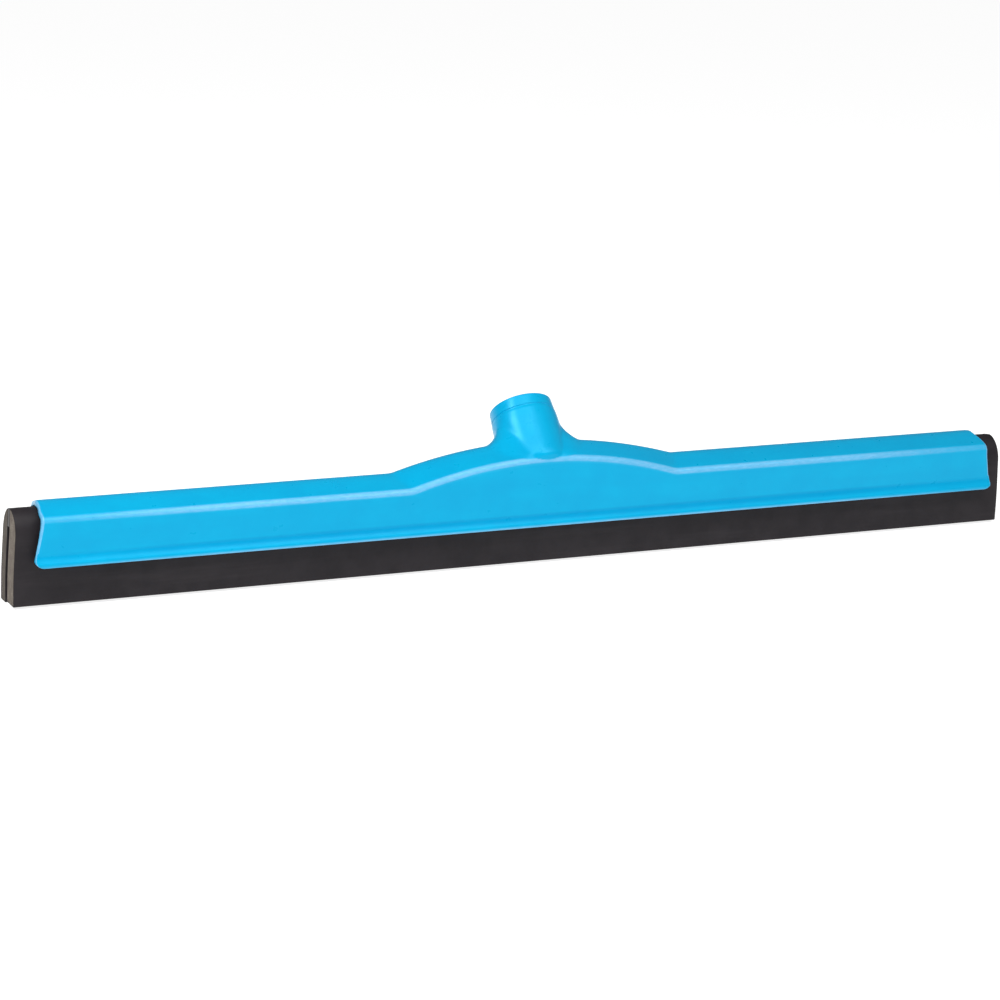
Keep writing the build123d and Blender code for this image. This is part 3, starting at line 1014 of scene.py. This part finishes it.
FLOOR_DARK, FLOOR_LIGHT = (0.49, 0.49, 0.49), (0.51, 0.51, 0.51)
FLOOR_GLOW = 0.84           # lifts the floor to nearly white and keeps a faint contact shadow


def pale_floor():
    """A dull pale floor that gives off some light of its own."""
    n = Nodes("floor")
    grain = n.noise(350, detail=3.0)
    colour = n.mix(n.ramp(grain, 0.3, 0.7), FLOOR_DARK, FLOOR_LIGHT)
    glow = {"Emission_Color": (1, 1, 1, 1), "Emission_Strength": FLOOR_GLOW}
    return n.finish(colour, 0.9, n.bump(grain, 0.00001), Specular_IOR_Level=0.0, **glow)


# ---- the pieces ------------------------------------------------------------------------------------------

moulding = put(frame_shell(), "frame_moulding", blue_plastic(), "frame")
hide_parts("squeegee_frame")

RUBBER = cellular_rubber()


def make_blade(name, inner, side, bottom, nodes):
    """One rubber strip, from the cassette down to its free edge, as one rigid piece."""
    section = blade_section(inner, side, bottom)
    blade = put(bar_shell(section), name, RUBBER, None)
    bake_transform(blade)
    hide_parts(*nodes)


front_bottom, rear_bottom = FRONT_EDGE_LOW[2] - FRONT_DROP, REAR_EDGE_LOW[2]
front_nodes, rear_nodes = ("front_blade_heel", "front_blade_edge"), ("rear_blade_heel", "rear_blade_edge")
make_blade("front_blade", -FRONT_INNER, -1, front_bottom, front_nodes)
make_blade("rear_blade", REAR_INNER, 1, rear_bottom, rear_nodes)
core = put(bar_shell(core_section()), "core_strip", core_plastic(), "cassette")
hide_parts("cassette_core")


# ---- camera, floor and lights -----------------------------------------------------------------------------

EYE = (-0.76195, -1.54479, 0.48731)
LOOK = radians(25.76)       # the view turns this far from +Y towards +X
PITCH = radians(14.85)      # and looks down by this
ROLL = radians(2.45)
LENS = 115.5
SENSOR = 36
FLOOR_HALF = 6.0
FLOOR_LEVEL = -0.0002       # just below the rear blade's edge, so that no two faces share a plane
GLOW_FROM = (-0.38, -0.89, -0.25)    # the surround is brightest towards here
GLOW_LOW, GLOW_HIGH = 0.13, 0.38
SOFT_BOXES = (
    # name, place, what it points at, its two sides and its power
    ("front", (0.36, -0.62, 0.74), (0, 0, 0.065), (0.6, 0.1), 2.8),
    ("left", (-0.72, -0.24, 0.78), (0, 0, 0.07), (0.42, 0.30), 7.0),
    ("top", (-0.1, -0.75, 1.4), (0, 0, 0.05), (1.2, 0.5), 10.0),
)


def make_camera():
    """A camera at the photo's viewing angle."""
    ahead = Vector((sin(LOOK) * cos(PITCH), cos(LOOK) * cos(PITCH), -sin(PITCH)))
    level = Vector((cos(LOOK), -sin(LOOK), 0))
    down = ahead.cross(level)
    right = cos(ROLL) * level - sin(ROLL) * down
    down = sin(ROLL) * level + cos(ROLL) * down
    camera = bpy.data.cameras.new("camera")
    camera.lens = LENS
    camera.sensor_width = SENSOR
    camera.clip_start = 0.05
    obj = bpy.data.objects.new("camera", camera)
    turn = Matrix((right, -down, -ahead)).transposed().to_4x4()
    obj.matrix_world = Matrix.Translation(EYE) @ turn
    bpy.context.scene.collection.objects.link(obj)
    bpy.context.scene.camera = obj


def make_stage():
    """The floor, which isn't part of the object."""
    mesh = bpy.data.meshes.new("floor")
    corner_points = [(FLOOR_HALF * x, FLOOR_HALF * y, 0) for x, y in ((-1, -1), (1, -1), (1, 1), (-1, 1))]
    mesh.from_pydata(corner_points, [], [(0, 1, 2, 3)])
    floor = bpy.data.objects.new("floor", mesh)
    bpy.context.scene.collection.objects.link(floor)
    floor.location.z = FLOOR_LEVEL
    mesh.materials.append(pale_floor())


def area_light(name, place, target, size, power):
    """A soft box that points at a target."""
    light = bpy.data.lights.new(name, "AREA")
    light.shape = "RECTANGLE"
    light.size, light.size_y = size
    light.energy = power
    obj = bpy.data.objects.new(name, light)
    obj.location = place
    obj.rotation_euler = (Vector(target) - Vector(place)).to_track_quat("-Z", "Y").to_euler()
    bpy.context.scene.collection.objects.link(obj)


def make_lights():
    """A pale surround, brighter towards the front left, and three soft boxes."""
    world = bpy.data.worlds.new("studio")
    bpy.context.scene.world = world
    world.use_nodes = True
    tree = world.node_tree
    place = tree.nodes.new("ShaderNodeTexCoord")
    dot = tree.nodes.new("ShaderNodeVectorMath")
    dot.operation = "DOT_PRODUCT"
    dot.inputs[1].default_value = GLOW_FROM
    ramp = tree.nodes.new("ShaderNodeMapRange")
    for key, number in zip(("From Min", "From Max", "To Min", "To Max"), (-1.0, 1.0, GLOW_LOW, GLOW_HIGH)):
        ramp.inputs[key].default_value = number
    tree.links.new(place.outputs["Generated"], dot.inputs[0])
    tree.links.new(dot.outputs["Value"], ramp.inputs["Value"])
    tree.links.new(ramp.outputs["Result"], tree.nodes["Background"].inputs["Strength"])
    tree.nodes["Background"].inputs["Color"].default_value = (1, 1, 1, 1)
    for soft_box in SOFT_BOXES:
        area_light(*soft_box)


make_camera()
make_stage()
make_lights()
bpy.context.scene.view_settings.view_transform = "Standard"
